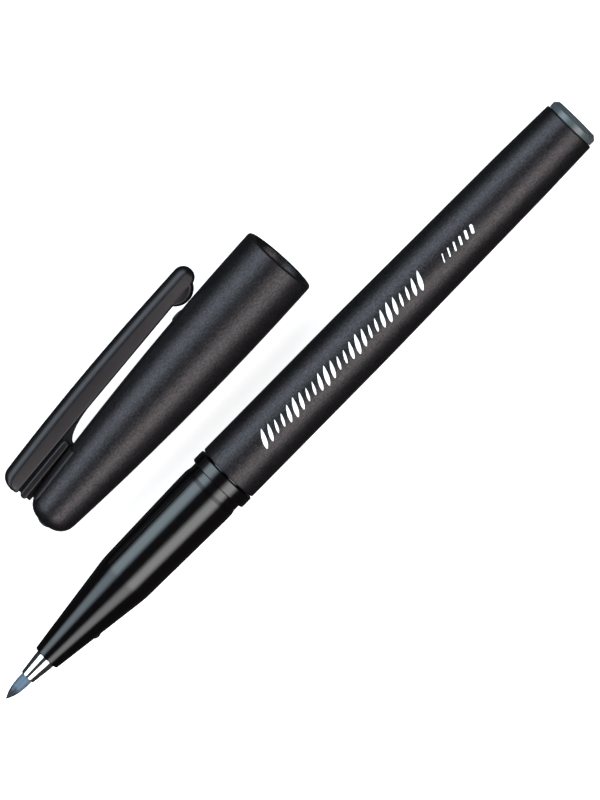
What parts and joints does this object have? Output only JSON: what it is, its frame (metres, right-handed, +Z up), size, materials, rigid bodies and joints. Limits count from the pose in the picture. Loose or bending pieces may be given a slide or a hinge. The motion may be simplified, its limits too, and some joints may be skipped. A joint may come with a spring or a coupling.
{
  "type": "calligraphy marker",
  "caption": "Brush pen for calligraphy, uncapped, with a flexible nib in a bright ferrule and its clip cap lying beside it.",
  "frame": {"origin": "centre of the footprint of the pen and its cap, on the surface that they lie on", "axes": "+X along the pen towards its tail, +Y from the pen towards the cap, +Z up"},
  "size_m": [0.1284, 0.0338, 0.0137],
  "materials": {
    "matte_black": "finely textured matte black moulding with a faint metallic fleck",
    "gloss_black": "polished black moulding",
    "clip_black": "smooth satin black moulding",
    "ink_grey": "satin grey moulding that shows the ink colour",
    "polished_steel": "polished bright metal",
    "nib_fibre": "fine blue-grey nib material, ink-stained at the point",
    "ink_fibre": "ink-soaked bonded fibre",
    "clear_film": "thin clear film",
    "liner_white": "plain off-white moulding",
    "print_white": "thin white pad-printed ink"
  },
  "bodies": {
    "pen": {"barrel": "matte_black", "tail_plug": "ink_grey", "grip_section": "gloss_black", "nib_ferrule": "polished_steel", "nib_stem": "nib_fibre", "reservoir_core": "ink_fibre", "reservoir_sheath": "clear_film"},
    "nib": {"nib_tip": "nib_fibre"},
    "cap": {"cap_shell": "matte_black", "inner_cap": "liner_white", "colour_button": "ink_grey", "clip_foot": "clip_black"},
    "clip": {"clip_arm": "clip_black"}
  },
  "joints": [
    {"name": "cap_slide", "type": "slide", "parent": "pen", "child": "cap", "axis": [-1, 0, 0], "range_m": [0, 0.085]},
    {"name": "clip_flex", "type": "hinge", "parent": "cap", "child": "clip", "pos_m": [-0.02019, 0.01375, 0.00542], "axis": [-0.0518, -0.0022, 0.9987], "range_deg": [0, 6], "stiffness_Nm_per_rad": 1.5},
    {"name": "nib_flex", "type": "hinge", "parent": "pen", "child": "nib", "pos_m": [-0.05944, -0.01154, 0.00549], "axis": [0, 1, 0], "range_deg": [-20, 20], "stiffness_Nm_per_rad": 0.004}
  ]
}
